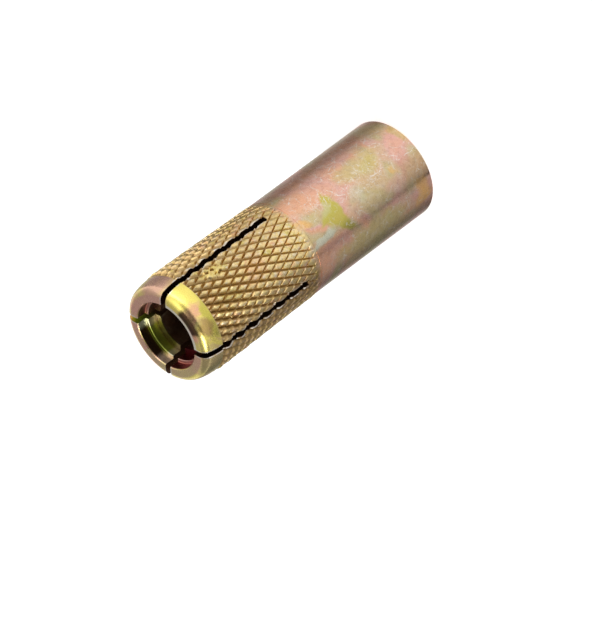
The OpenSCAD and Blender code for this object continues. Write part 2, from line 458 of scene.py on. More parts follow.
def knurled_band(sleeve, knurl, facing):
    """A closed ring of staggered flat-topped diamonds, meshed along its two sets of grooves."""
    nose_low = sleeve.length - sleeve.nose_l
    body_r = sleeve.body_d / 2
    nose_r = sleeve.nose_d / 2
    root = knurl.root_d / 2
    band_low = nose_low - knurl.length - knurl.lap
    band_l = knurl.length + 2 * knurl.lap
    pitch = 2 * math.pi / knurl.count
    ideal_row = math.pi * knurl.body_d / knurl.count / 2 / math.tan(knurl.angle)
    rows = round(band_l / ideal_row)
    row_l = band_l / rows
    lines = rows * 2 * CELLS
    per_ring = knurl.count * 2 * CELLS

    # Grid along the grooves: every second point of each line, staggered
    line = np.arange(lines + 1)[:, None]
    column = np.arange(per_ring)[None, :]
    across = 2 * column + line % 2
    share = (line * row_l / (2 * CELLS) + 0 * column) / band_l
    deep_flat = knurl.flat_body + (knurl.flat_nose - knurl.flat_body) * share
    light_flat = knurl.light_flat_body + (knurl.light_flat_nose - knurl.light_flat_body) * share

    # Groove coordinates: odd whole numbers lie on the grooves, even ones on the diamonds' middles
    light_mid, light_step, light_move, light_index = groove_steps((across + line) / (2 * CELLS), light_flat)
    deep_mid, deep_step, deep_move, deep_index = groove_steps((across - line) / (2 * CELLS), deep_flat)
    light = light_mid + light_move
    deep = deep_mid + deep_move
    angle = (light + deep) / 2 * pitch / 2
    z = band_low + (light - deep) / 2 * row_l

    # Height of the surface: one on the flats, nought in the grooves
    light_fall = 1 - (1 - FLAT_TO_GROOVE[light_index]) * (1 + (knurl.light_depth - 1) * share)
    height = np.minimum(light_fall, FLAT_TO_GROOVE[deep_index])

    # Each diamond stands a little higher or lower and leans its own way
    diamond = np.sin(37.1 * light_mid + 11.7 * deep_mid) * 0.5
    diamond += np.sin(5.3 * light_mid - 23.9 * deep_mid) * 0.5
    lean = 0.055 * diamond * (light_step - deep_step)
    grain = np.random.default_rng(7).normal(0, 0.008, angle.shape)
    top = knurl_top_radius(sleeve, knurl, z) + 0.012 * diamond + lean + 0.010 * ripple(angle, z, 3) + grain

    # The grooves fade out into the body and the tops come down to the nose
    sunk = 0.03
    wander = 0.55 * ripple(angle, 0 * z, 5)
    fade = np.clip((z - band_low - knurl.lap - wander) / knurl.run_out, 0, 1)
    fade = fade * fade * (3 - 2 * fade) * np.clip((z - band_low - knurl.lap) / 0.6, 0, 1)
    low_root = body_r - sunk + (root - body_r + sunk) * fade
    low_top = body_r - sunk + (top - body_r + sunk) * np.clip(fade * 1.6, 0, 1)
    near_nose = np.clip((nose_low - z) / 0.55, 0, 1)
    low_top = nose_r - 0.02 + (low_top - nose_r + 0.02) * near_nose
    radius = crush(low_root + (low_top - low_root) * height, top, angle, z, sleeve, facing)

    outside = np.stack([radius * np.cos(angle), radius * np.sin(angle), z], -1).reshape(-1, 3)
    inner_r = root - knurl.root_depth
    inner_rings = [
        np.stack([inner_r * np.cos(angle[end]), inner_r * np.sin(angle[end]), z[end]], -1)
        for end in (0, lines)
    ]
    verts = np.concatenate([outside] + inner_rings)
    return make_object("knurled_band", verts, band_faces(lines, per_ring))


def band_faces(lines, per_ring):
    """Triangles of the band's staggered outside, and the faces of its ends and its inside."""

    def at(row, col):
        return row * per_ring + col % per_ring

    faces = []
    for row in range(lines):
        shift = row % 2
        for col in range(per_ring):
            here = at(row, col)
            above = at(row + 1, col + shift)
            faces.append((here, at(row, col + 1), above))
            faces.append((here, above, at(row + 1, col + shift - 1)))
    low_ring = (lines + 1) * per_ring
    high_ring = low_ring + per_ring
    for col in range(per_ring):
        after = (col + 1) % per_ring
        faces.append((at(0, after), at(0, col), low_ring + col, low_ring + after))
        faces.append((at(lines, col), at(lines, after), high_ring + after, high_ring + col))
        faces.append((low_ring + after, low_ring + col, high_ring + col, high_ring + after))
    return faces


# Finishes

WHITE = (1.0, 1.0, 1.0)


def shade(tone, factor):
    """A darker tone."""
    return tuple(factor * c for c in tone)


def tinted(tone, tint):
    """A tone multiplied by another."""
    return tuple(a * b for a, b in zip(tone, tint))


def mixed(a, b, share):
    """The tone that lies a share of the way from a to b."""
    return tuple((1 - share) * x + share * y for x, y in zip(a, b))


class Finish:
    """Short names for the nodes that a material is made of. Places are in millimetres."""

    def __init__(self, name):
        self.material = bpy.data.materials.new(name)
        self.material.use_nodes = True
        self.tree = self.material.node_tree
        self.shader = self.tree.nodes["Principled BSDF"]
        scaled = self.tree.nodes.new("ShaderNodeVectorMath")
        scaled.operation = "SCALE"
        scaled.inputs["Scale"].default_value = 1 / MM
        self.put(self.tree.nodes.new("ShaderNodeTexCoord").outputs["Object"], scaled.inputs[0])
        self.place = scaled.outputs[0]
        parts = self.tree.nodes.new("ShaderNodeSeparateXYZ")
        self.put(self.place, parts.inputs[0])
        self.x, self.y, self.z = parts.outputs

    def put(self, value, socket):
        """Links a socket, or sets a plain value."""
        if isinstance(value, bpy.types.NodeSocket):
            self.tree.links.new(value, socket)
        else:
            socket.default_value = value

    def math(self, operation, *values):
        node = self.tree.nodes.new("ShaderNodeMath")
        node.operation = operation
        for value, socket in zip(values, node.inputs):
            self.put(value, socket)
        return node.outputs[0]

    def add(self, a, b):
        return self.math("ADD", a, b)

    def less(self, a, b):
        return self.math("SUBTRACT", a, b)

    def scaled(self, value, factor, base):
        """Value times factor, plus base."""
        return self.math("MULTIPLY_ADD", value, factor, base)

    def either(self, a, b):
        """The larger of two masks."""
        return self.math("MAXIMUM", a, b)

    def product(self, first, *others):
        for other in others:
            first = self.math("MULTIPLY", first, other)
        return first

    def between(self, value, low, high, smooth=True):
        """Rises from nought at low to one at high."""
        node = self.tree.nodes.new("ShaderNodeMapRange")
        node.interpolation_type = "SMOOTHSTEP" if smooth else "LINEAR"
        self.put(value, node.inputs["Value"])
        node.inputs["From Min"].default_value = low
        node.inputs["From Max"].default_value = high
        return node.outputs["Result"]

    def near(self, value, centre, outer, inner):
        """One within the inner distance of a centre, nought beyond the outer one."""
        return self.between(self.math("ABSOLUTE", self.less(value, centre)), outer, inner)

    def spread(self, value, low, high):
        """Maps nought to one onto low to high."""
        node = self.tree.nodes.new("ShaderNodeMapRange")
        self.put(value, node.inputs["Value"])
        node.inputs["To Min"].default_value = low
        node.inputs["To Max"].default_value = high
        return node.outputs["Result"]

    def moved(self, offset, stretch=(1, 1, 1)):
        """The place, stretched and moved on, so that each texture has its own part of the pattern."""
        node = self.tree.nodes.new("ShaderNodeMapping")
        node.inputs["Scale"].default_value = stretch
        node.inputs["Location"].default_value = offset
        self.put(self.place, node.inputs["Vector"])
        return node.outputs[0]

    def noise(self, scale, detail=2.0, rough=0.5, warp=0.0, stretch=(1, 1, 1), offset=(0, 0, 0)):
        node = self.tree.nodes.new("ShaderNodeTexNoise")
        node.inputs["Scale"].default_value = scale
        node.inputs["Detail"].default_value = detail
        node.inputs["Roughness"].default_value = rough
        node.inputs["Distortion"].default_value = warp
        self.put(self.moved(offset, stretch), node.inputs["Vector"])
        return node.outputs["Fac"]

    def cracks(self, scale, warp, offset=(0, 0, 0)):
        """Distance to the nearest line of an irregular net."""
        place = self.moved(offset)
        swirl = self.tree.nodes.new("ShaderNodeTexNoise")
        swirl.inputs["Scale"].default_value = scale * 1.7
        self.put(place, swirl.inputs["Vector"])
        pushed = self.tree.nodes.new("ShaderNodeVectorMath")
        pushed.operation = "MULTIPLY_ADD"
        self.put(swirl.outputs["Color"], pushed.inputs[0])
        pushed.inputs[1].default_value = (warp, warp, warp)
        self.put(place, pushed.inputs[2])
        net = self.tree.nodes.new("ShaderNodeTexVoronoi")
        net.feature = "DISTANCE_TO_EDGE"
        net.inputs["Scale"].default_value = scale
        self.put(pushed.outputs[0], net.inputs["Vector"])
        return net.outputs["Distance"]

    def blend(self, amount, a, b, mode="MIX"):
        """Lays b over a."""
        node = self.tree.nodes.new("ShaderNodeMix")
        node.data_type = "RGBA"
        node.blend_type = mode
        node.clamp_factor = True
        sockets = {socket.identifier: socket for socket in node.inputs}
        self.put(amount, sockets["Factor_Float"])
        for value, name in ((a, "A_Color"), (b, "B_Color")):
            plain_tone = not isinstance(value, bpy.types.NodeSocket)
            self.put((*value, 1.0) if plain_tone else value, sockets[name])
        return {socket.identifier: socket for socket in node.outputs}["Result_Color"]

    def ramp(self, value, stops):
        """A colour that runs through stops of (position, tone)."""
        node = self.tree.nodes.new("ShaderNodeValToRGB")
        self.put(value, node.inputs["Fac"])
        steps = node.color_ramp.elements
        while len(steps) < len(stops):
            steps.new(0.5)
        for step, (position, tone) in zip(steps, stops):
            step.position = position
            step.color = (*tone, 1.0)
        return node.outputs["Color"]

    def bump(self, height, distance, strength, normal=None):
        node = self.tree.nodes.new("ShaderNodeBump")
        node.inputs["Strength"].default_value = strength
        node.inputs["Distance"].default_value = distance
        self.put(height, node.inputs["Height"])
        if normal is not None:
            self.put(normal, node.inputs["Normal"])
        return node.outputs["Normal"]


class ZincFinish(Finish):
    """Adds the sleeve's own coordinates and the plating's casts.

    The angle counts in degrees from the middle line of the shown side, and the depth in millimetres from the
    mouth. The drifted angle and depth wander a little, which makes the patches' outlines uneven.
    """

    def __init__(self, colours, sleeve):
        super().__init__("yellow_zinc")
        self.sleeve = sleeve
        self.mm_per_degree = math.radians(sleeve.body_d / 2)
        ahead_x, ahead_y = math.cos(colours.shown_side), math.sin(colours.shown_side)
        ahead = self.add(self.product(self.x, ahead_x), self.product(self.y, ahead_y))
        aside = self.less(self.product(self.x, ahead_y), self.product(self.y, ahead_x))
        self.angle = self.product(self.math("ARCTAN2", aside, ahead), 180 / math.pi)
        self.depth = self.less(sleeve.length, self.z)
        self.radius = self.math("SQRT", self.add(self.product(self.x, self.x), self.product(self.y, self.y)))
        drift_a = self.less(self.noise(0.40, 2, 0.5, offset=(3, 1, 7)), 0.5)
        drift_d = self.less(self.noise(0.40, 2, 0.5, offset=(13, 5, 2)), 0.5)
        self.drifted_angle = self.scaled(drift_a, 16.0, self.angle)
        self.drifted_depth = self.scaled(drift_d, 2.6, self.depth)

        tone = {
            name: tuple(getattr(colours, name)) for name in (
                "rose", "salmon", "straw", "lime", "olive", "haze", "orange", "umber", "pale",
                "knurl", "nose", "bore", "crimson",
            )
        }
        tone["dark_lime"] = shade(tone["lime"], 0.6)
        tone["smudge"] = shade(tone["umber"], 0.5)
        # Near-black tone for the painted dark reflection on the nose's rounded edge
        tone["streak"] = shade(tone["umber"], 0.06)
        # Groove tone: the knurl's gold darkened, for the painted shade in the grooves
        tone["groove"] = tinted(tone["knurl"], (0.44, 0.37, 0.31))
        tone["green"] = tinted(tone["lime"], (0.66, 0.86, 0.8))
        self.tone = tone

    def oval(self, at_angle, at_depth, half_angle, half_length, turn=0):
        """A soft oval patch. Its turn is in degrees."""
        across = self.product(self.less(self.drifted_angle, at_angle), self.mm_per_degree)
        along = self.less(self.drifted_depth, at_depth)
        cos, sin = math.cos(math.radians(turn)), math.sin(math.radians(turn))
        u = self.add(self.product(across, cos), self.product(along, sin))
        v = self.less(self.product(along, cos), self.product(across, sin))
        u = self.math("POWER", self.math("DIVIDE", u, self.mm_per_degree * half_angle), 2.0)
        v = self.math("POWER", self.math("DIVIDE", v, half_length), 2.0)
        return self.between(self.add(u, v), 1.7, 0.2)

    def painted(self, ground, patches):
        """Lays a table of patches over a colour."""
        for at_angle, at_depth, half_angle, half_length, turn, cast, strength in patches:
            mask = self.oval(at_angle, at_depth, half_angle, half_length, turn)
            ground = self.blend(self.product(mask, strength), ground, self.tone[cast])
        return ground

    def from_line(self, angle, depth, start, end):
        """Distance along and beside the line between two (angle, depth) points, and the line's length."""
        du = self.mm_per_degree * (end[0] - start[0])
        dv = end[1] - start[1]
        size = math.hypot(du, dv)
        u = self.product(self.less(angle, start[0]), self.mm_per_degree)
        v = self.less(depth, start[1])
        along = self.add(self.product(u, du / size), self.product(v, dv / size))
        beside = self.less(self.product(u, dv / size), self.product(v, du / size))
        return along, beside, size

    def wedge(self, corners, edge):
        """A triangle with soft sides."""
        inside = 1.0
        for n in range(3):
            _, beside, _ = self.from_line(
                self.drifted_angle, self.drifted_depth, corners[n], corners[(n + 1) % 3]
            )
            inside = self.product(self.between(beside, -edge, edge * 0.6), inside)
        return inside


# Patches of the plating on the side that the picture shows. Each is a soft oval: its angle from the nearest
# line in degrees, distance from the mouth in millimetres, half-width in degrees, half-length in millimetres,
# turn in degrees, the cast's name, and its strength.
BODY_PATCHES = (
    (-64, 37.0, 12, 15.0, 0, "umber", 0.65),
    (-52, 38.5, 9, 6.0, 0, "rose", 0.5),
    (-34, 28.0, 16, 4.6, 0, "salmon", 1.0),
    (-10, 25.6, 6, 1.4, -20, "orange", 0.75),
    (-38, 32.0, 13, 2.6, 0, "rose", 0.8),
    (-12, 34.2, 18, 1.9, -10, "rose", 0.85),
    (-26, 40.0, 14, 5.0, 0, "olive", 0.8),
    (-20, 41.5, 8, 2.2, 0, "lime", 0.3),
    (-18, 46.2, 20, 2.2, 0, "rose", 0.6),
    (0, 39.5, 14, 5.0, 0, "olive", 0.6),
    (12, 36.0, 9, 3.5, 0, "straw", 0.5),
    (13, 43.2, 7, 1.8, 0, "rose", 0.45),
    (1, 44.0, 5, 0.6, 25, "orange", 0.5),
    (46, 47.3, 10, 1.6, 0, "orange", 0.8),
    (32, 47.8, 9, 1.3, 0, "orange", 0.7),
    (-58, 47.0, 22, 2.2, 0, "olive", 0.6),
    (8, 46.6, 15, 2.0, 0, "umber", 0.35),
    (64, 38.0, 12, 9.0, 0, "olive", 0.7),
    (-24, 31.0, 16, 3.0, 0, "salmon", 0.5),
    (42, 27.0, 14, 3.6, 0, "salmon", 0.6),
    (-2, 36.4, 9, 1.6, 10, "haze", 0.3),
    (42, 30.6, 4, 1.0, 0, "orange", 0.4),
    (45, 37.0, 14, 7.5, 0, "olive", 0.85),
    (15, 27.2, 4.0, 3.1, 12, "haze", 0.85),
    (-30, 49.3, 14, 0.9, 0, "lime", 0.45),
    (14, 49.2, 14, 1.1, 0, "umber", 0.4),
    (24, 30.0, 4, 4.0, 0, "rose", 0.5),
)

# Patches laid over the lime wedge, the knurl and the nose, in the same order of values
WEDGE_PATCHES = (
    (-9, 29.9, 8, 1.1, 0, "haze", 0.35),
    (20, 33.0, 10, 1.6, 0, "dark_lime", 0.55),
)

KNURL_PATCHES = (
    (-3, 14.0, 12, 2.6, 20, "salmon", 0.35),
    (4, 7.5, 9, 2.2, 0, "lime", 0.35),
    (-27, 8.6, 7, 2.4, 0, "nose", 0.5),
)

NOSE_PATCHES = (
    (-26, 2.0, 17, 3.2, 0, "nose", 0.95),
    (-6, 1.3, 9, 1.3, 0, "salmon", 0.8),
    (6, 3.1, 24, 0.7, 0, "lime", 0.75),
    (16, 1.9, 10, 1.2, 0, "smudge", 0.65),
    (-64, 1.6, 20, 3.0, 0, "rose", 0.85),
    (62, 1.6, 16, 3.0, 0, "olive", 0.85),
)

# The sharp-edged lime wedge: its corners as angle and distance, and the softness of its sides in millimetres
LIME_WEDGE = ((-26, 31.6), (25, 33.4), (2, 28.2))
WEDGE_EDGE = 0.5

# Fine scratches: angle and distance of one end and of the other, and half-width in millimetres
SCRATCHES = (
    (-33, 30.4, -17, 28.6, 0.04),
    (-30, 31.8, -13, 31.2, 0.05),
    (-26, 32.6, -14, 33.8, 0.04),
    (-9, 40.0, -8, 42.2, 0.10),
    (-30, 43.0, -9, 46.4, 0.035),
    (-5, 45.4, -6, 48.8, 0.045),
    (-50, 36.4, -44, 37.0, 0.05),
    (-43, 36.0, -46, 37.6, 0.045),
    (-16, 33.2, -8, 34.8, 0.06),
    (-14, 35.4, -19, 37.4, 0.05),
    (-40, 41.0, -37, 43.4, 0.04),
    (-20, 31.0, -34, 31.6, 0.04),
    (-24, 29.4, -28, 27.6, 0.035),
    (14, 33.6, 21, 32.6, 0.04),
    (-36, 34.6, -29, 35.4, 0.035),
)

# Painted shade on the knurl: tints from a quarter of a turn on one side of the shown line to a quarter on the
# other, darker towards both sides
KNURL_PAINTED_SHADE = (
    (0.0, WHITE),
    (0.08, (0.52, 0.47, 0.44)),
    (0.20, (0.88, 0.80, 0.73)),
    (0.26, (0.80, 0.74, 0.68)),
    (0.38, (0.86, 0.85, 0.84)),
    (0.46, WHITE),
    (0.60, WHITE),
    (0.68, (0.68, 0.65, 0.63)),
    (0.79, (0.37, 0.31, 0.30)),
    (0.90, (0.62, 0.56, 0.56)),
    (1.0, WHITE),
)


def scratch_mask(f, broken):
    """The fine scratches, slightly bent and broken up."""
    bend = f.less(f.noise(0.7, 1, 0.5, offset=(7, 7, 7)), 0.5)
    scratches = 0.0
    for start_angle, start_depth, end_angle, end_depth, half in SCRATCHES:
        start = (start_angle, start_depth)
        along, beside, size = f.from_line(f.angle, f.depth, start, (end_angle, end_depth))
        line = f.near(f.add(beside, bend), 0.0, half * 1.5, half * 0.4)
        ends = f.near(along, size / 2, size / 2 + 0.2, size / 2 - 0.2)
        scratches = f.either(scratches, f.product(line, ends))
    return f.product(scratches, broken)


def body_colour(f, broken):
    """Smooth half: drifting casts, placed patches, clouds, rubbed specks, the lime wedge and hair lines."""
    tone = f.tone
    body = f.ramp(f.noise(0.10, 2.5, 0.5, warp=0.7, offset=(2, 9, 4)), (
        (0.28, tone["olive"]),
        (0.40, tone["straw"]),
        (0.47, tone["rose"]),
        (0.54, tone["salmon"]),
        (0.61, tone["straw"]),
        (0.70, tone["olive"]),
    ))
    body = f.painted(body, BODY_PATCHES)

    cloud = f.between(f.noise(0.9, 5, 0.65, offset=(1, 2, 3)), 0.45, 0.75)
    body = f.blend(f.product(cloud, 0.22), body, tone["pale"])
    dull = f.between(f.noise(2.6, 4, 0.7, offset=(5, 5, 9)), 0.5, 0.8)
    body = f.blend(f.product(dull, 0.35), body, tone["straw"])
    mottle = f.ramp(f.noise(1.5, 4, 0.75, warp=0.4, offset=(9, 4, 2)), (
        (0.36, (0.72, 0.70, 0.72)),
        (0.50, WHITE),
    ))
    body = f.blend(0.55, body, mottle, "MULTIPLY")

    specks = f.between(f.noise(3.4, 3, 0.8), 0.60, 0.68)
    rubbed = f.either(f.oval(-12, 38.5, 13, 6.0), f.oval(-18, 30.5, 10, 3.6))
    body = f.blend(f.product(specks, f.scaled(rubbed, 0.70, 0.08)), body, tone["pale"])
    lime = f.painted(tone["lime"], WEDGE_PATCHES)
    body = f.blend(f.product(f.wedge(LIME_WEDGE, WEDGE_EDGE), 0.85), body, lime)

    worn = f.between(f.noise(0.45, 2, 0.6, offset=(2, 6, 6)), 0.42, 0.6)
    wide_net = f.product(f.between(f.cracks(0.42, 2.2), 0.035, 0.008), worn)
    fine_net = f.product(f.between(f.cracks(0.8, 1.2, offset=(5, 3, 9)), 0.06, 0.015), rubbed, 0.7)
    hair = f.product(f.either(wide_net, fine_net), broken)
    return f.blend(f.product(hair, 0.6), body, tone["pale"])


def knurl_colour(f):
    """Knurl: gold with rose and lime drifts, painted pale glints, and painted shade towards both sides of the
    picture.
    """
    tone = f.tone
    knurl = f.ramp(f.noise(0.75, 4, 0.7, warp=0.6, offset=(11, 3, 8)), (
        (0.36, mixed(tone["knurl"], tone["lime"], 0.55)),
        (0.46, tone["knurl"]),
        (0.54, tone["knurl"]),
        (0.64, mixed(tone["knurl"], tone["salmon"], 0.6)),
    ))
    # Painted highlights: pale glints scattered over the knurl
    painted_glints = f.between(f.noise(1.3, 3, 0.7, offset=(6, 2, 4)), 0.48, 0.64)
    knurl = f.blend(f.product(painted_glints, 0.42), knurl, tone["pale"])
    knurl = f.painted(knurl, KNURL_PATCHES)
    # Painted shade: darker towards both sides of the picture
    knurl = f.blend(1.0, knurl, f.ramp(f.scaled(f.angle, 1 / 180, 0.5), KNURL_PAINTED_SHADE), "MULTIPLY")
    grime = f.ramp(f.noise(2.4, 3, 0.7, offset=(2, 5, 8)), (
        (0.40, (0.55, 0.47, 0.40)),
        (0.54, WHITE),
    ))
    return f.blend(0.45, knurl, grime, "MULTIPLY")


def nose_colour(f):
    """Nose: yellow that turns to peach and to a dull smudge, with the end face's ring, a painted highlight on
    the near leaf's rim and a painted dark reflection along its rounded edge.
    """
    tone = f.tone
    nose = f.ramp(f.noise(0.28, 3, 0.5, warp=0.8, offset=(6, 1, 1)), (
        (0.35, tone["salmon"]),
        (0.47, mixed(tone["nose"], tone["straw"], 0.5)),
        (0.60, tone["nose"]),
        (0.72, tone["rose"]),
    ))
    nose = f.painted(nose, NOSE_PATCHES)

    near_leaf = f.near(f.angle, 3.0, 50.0, 42.0)
    ring = f.blend(f.between(f.angle, 55.0, 100.0), shade(tone["rose"], 0.92), tone["straw"])
    # On the near leaf only a thin rim of the end face takes the ring's pale tone: a painted highlight along
    # the edge
    ring = f.blend(near_leaf, ring, tone["pale"])
    rim_highlight = f.product(f.between(f.radius, 6.25, 6.05), near_leaf)
    end_face = f.product(f.between(f.depth, 0.12, 0.03), f.either(rim_highlight, f.less(1.0, near_leaf)))
    nose = f.blend(f.product(end_face, 0.8), nose, ring)

    # Painted reflection: a near-black streak on the rounded edge of the near leaf
    across = f.product(f.between(f.radius, 6.05, 6.3), f.between(f.radius, 7.55, 7.2))
    around = f.near(f.drifted_angle, 2.0, 21.0, 14.0)
    streak = f.product(across, around, f.between(f.depth, 1.4, 1.0), 0.95)
    return f.blend(streak, nose, tone["streak"])


def mouth_colour(f):
    """Bore: dark brown as painted shade, darkest deeper in, with the casts, painted light and painted
    highlights that show inside the mouth.
    """
    tone = f.tone
    recess = f.sleeve.recess_depth
    relief = f.sleeve.relief_depth
    relief_r = f.sleeve.relief_d / 2
    # Angle from the line opposite the shown one, where the far leaf lies
    opposite = f.less(f.math("WRAP", f.angle, 360.0, 0.0), 180.0)
    far_leaf = f.near(opposite, 3.0, 46.0, 42.0)
    low_leaf = f.product(f.between(f.angle, 44.0, 48.0), f.between(f.angle, 140.0, 136.0))
    top_leaf = f.product(f.between(f.angle, -40.0, -44.0), f.between(f.angle, -134.0, -130.0))
    recess_wall = f.between(f.depth, recess + 0.15, recess)
    relief_wall = f.product(
        f.between(f.depth, recess - 0.1, recess + 0.05),
        f.between(f.depth, relief + 0.4, relief - 0.8),
    )
    near_mouth = f.between(f.depth, 4.5, 3.5)

    def spot(at, half):
        """A soft spot on the far leaf."""
        return f.near(opposite, at, half, half * 0.3)

    film = f.between(f.noise(0.35, 3, 0.6, warp=0.8, offset=(1, 6, 4)), 0.4, 0.65)
    inner = f.blend(film, tone["bore"], shade(tone["straw"], 0.4))
    # Far leaf's recess wall: painted shade in its middle, and painted light in haze and pale salmon spots
    recess_light_and_shade = f.blend(spot(40, 13), shade(tone["bore"], 0.5), tone["haze"])
    recess_light_and_shade = f.blend(spot(-31, 17), recess_light_and_shade, mixed(tone["salmon"], tone["pale"], 0.5))
    inner = f.blend(f.product(recess_wall, far_leaf), inner, recess_light_and_shade)
    # Far leaf's relief wall: a painted lit band in green, with painted highlights in pale lime
    painted_highlight = mixed(tone["lime"], tone["pale"], 0.5)
    lit = f.blend(f.either(spot(-33, 11), spot(36, 12)), tone["green"], painted_highlight)
    inner = f.blend(f.product(relief_wall, far_leaf), inner, lit)
    # Painted shade inside the low and top leaves, in dark crimson and dark umber casts
    inner = f.blend(f.product(near_mouth, low_leaf), inner, shade(tone["crimson"], 0.4))
    inner = f.blend(f.product(near_mouth, top_leaf), inner, shade(tone["umber"], 0.28))
    low_spot = f.product(f.near(f.angle, 104.0, 16.0, 4.0), recess_wall, 0.9)
    inner = f.blend(low_spot, inner, tone["crimson"])
    # Painted highlight: a rose line on the step's edge in the low and top leaves
    step = f.product(
        f.between(f.radius, relief_r - 0.05, relief_r + 0.05),
        f.near(f.depth, recess + 0.02, 0.14, 0.08),
    )
    inner = f.blend(f.product(step, f.either(low_leaf, top_leaf)), inner, tone["rose"])
    # Painted shade: darker deeper in the bore
    deep = f.between(f.depth, relief - 0.1, 6.0)
    return f.blend(f.product(deep, 0.85), inner, tone["bore"])


def slot_wall_colour(f):
    """Walls of the saw cuts: the bore's dark tone as painted shade, and on one slot painted light in green,
    with an orange tip near the mouth.
    """
    # Painted light: green on one slot's walls near the mouth
    painted_lit_green = f.product(f.between(f.y, 3.0, 4.0), f.between(f.depth, 4.0, 1.5))
    walls = f.blend(painted_lit_green, f.tone["bore"], f.tone["green"])
    orange_tip = f.product(f.between(f.y, 6.6, 7.4), f.between(f.depth, 1.6, 0.8))
    return f.blend(orange_tip, walls, f.tone["orange"])


def yellow_zinc(colours, sleeve, knurl):
    """Iridescent yellow plating: patchy casts on the body, gold on the knurl, bright yellow on the nose."""
    f = ZincFinish(colours, sleeve)
    tone = f.tone
    knurl_high = sleeve.nose_l
    knurl_low = knurl_high + knurl.length
    broken = f.between(f.noise(3.6, 2, 0.6, offset=(4, 8, 1)), 0.40, 0.54)
    scratches = scratch_mask(f, broken)

    body = f.blend(f.product(scratches, 0.75), body_colour(f, broken), tone["pale"])
    in_knurl = f.product(
        f.between(f.drifted_depth, knurl_low + 0.4, knurl_low - 1.1),
        f.between(f.depth, knurl_high - 0.1, knurl_high + 0.1),
    )
    zinc = f.blend(in_knurl, body, knurl_colour(f))
    zinc = f.blend(f.between(f.depth, knurl_high + 0.1, knurl_high - 0.1), zinc, nose_colour(f))

    # Painted shade in the grooves: darker over the slopes, and darkest in the deep ones
    swell = f.between(f.depth, knurl_low + 0.1, knurl_high + 0.1, smooth=False)
    over_flats = f.scaled(swell, (knurl.nose_d - knurl.body_d) / 2, knurl.body_d / 2)
    below_flats = f.less(over_flats, f.radius)
    slopes = f.product(f.between(below_flats, 0.10, 0.30), in_knurl, 0.85)
    zinc = f.blend(slopes, zinc, tone["groove"])
    bottoms = f.product(f.between(below_flats, 0.36, 0.56), in_knurl, 0.6)
    zinc = f.blend(bottoms, zinc, shade(tone["groove"], 0.45))

    # Pale lines along the saw cuts, broken up by noise
    half_cut = sleeve.slot_w / 2
    from_cut = f.math("MINIMUM", f.math("ABSOLUTE", f.x), f.math("ABSOLUTE", f.y))
    pale_cut_edge = f.product(
        f.between(from_cut, half_cut + 0.34, half_cut + 0.10),
        f.between(f.depth, sleeve.slot_l + 0.2, sleeve.slot_l - 0.4),
        f.between(f.noise(1.1, 3, 0.7, offset=(3, 7, 7)), 0.42, 0.58),
        0.75,
    )
    zinc = f.blend(pale_cut_edge, zinc, tone["pale"])

    # The bore with its thread, and the walls of the saw cuts
    recess_r = sleeve.recess_d / 2
    entry_r = sleeve.thread_major_d / 2 + sleeve.entry_margin
    ledge_depth = sleeve.length - sleeve.thread_l
    bore_wall = f.product(f.between(f.radius, recess_r + 0.2, recess_r + 0.05), f.between(f.depth, 0.05, 0.2))
    thread_zone = f.product(
        f.between(f.radius, entry_r + 0.2, entry_r), f.between(f.depth, ledge_depth - 0.5, ledge_depth + 0.5)
    )
    zinc = f.blend(f.either(bore_wall, thread_zone), zinc, mouth_colour(f))
    in_cut = f.product(
        f.between(from_cut, half_cut + 0.05, half_cut + 0.01),
        f.between(f.depth, sleeve.slot_l + 0.2, sleeve.slot_l),
    )
    zinc = f.blend(in_cut, zinc, slot_wall_colour(f))

    f.put(zinc, f.shader.inputs["Base Color"])
    f.shader.inputs["Metallic"].default_value = 1.0
    f.put(f.blend(in_knurl, WHITE, (1.0, 0.84, 0.64)), f.shader.inputs["Specular Tint"])
    rough = f.spread(f.noise(1.6, 4, 0.7, offset=(8, 2, 5)), 0.18, 0.38)
    rough = f.scaled(bore_wall, 0.15, rough)
    f.put(f.scaled(in_knurl, 0.09, rough), f.shader.inputs["Roughness"])

    normal = f.bump(f.noise(0.9, 3, 0.6, offset=(3, 3, 3)), 0.00006, 0.55)
    normal = f.bump(f.noise(9.0, 4, 0.7), 0.000006, 0.6, normal)
    normal = f.bump(scratches, 0.00002, 0.5, normal)
    f.put(normal, f.shader.inputs["Normal"])
    return f.material


def turned_steel(colours):
    """Bare turned steel with fine rings and a film of oil."""
    f = Finish("plug_steel")
    rings = f.noise(7.0, 2, 0.5, stretch=(0.02, 0.02, 3.0))
    stain = f.noise(0.8, 4, 0.6)
    tone = tuple(colours.steel)
    f.put(f.blend(f.between(stain, 0.35, 0.7), shade(tone, 0.62), tone), f.shader.inputs["Base Color"])
    f.shader.inputs["Metallic"].default_value = 1.0
    f.put(f.spread(stain, 0.22, 0.40), f.shader.inputs["Roughness"])
    f.put(f.bump(rings, 0.00001, 0.5), f.shader.inputs["Normal"])
    return f.material


# Studio


def seen_directly(nodes, links):
    """One for camera, mirror and glass rays, nought for the rest."""
    path = nodes.new("ShaderNodeLightPath")
    first = nodes.new("ShaderNodeMath")
    first.operation = "ADD"
    second = nodes.new("ShaderNodeMath")
    second.operation = "ADD"
    second.use_clamp = True
    links.new(path.outputs["Is Camera Ray"], first.inputs[0])
    links.new(path.outputs["Is Glossy Ray"], first.inputs[1])
    links.new(first.outputs[0], second.inputs[0])
    links.new(path.outputs["Is Transmission Ray"], second.inputs[1])
    return second.outputs[0]


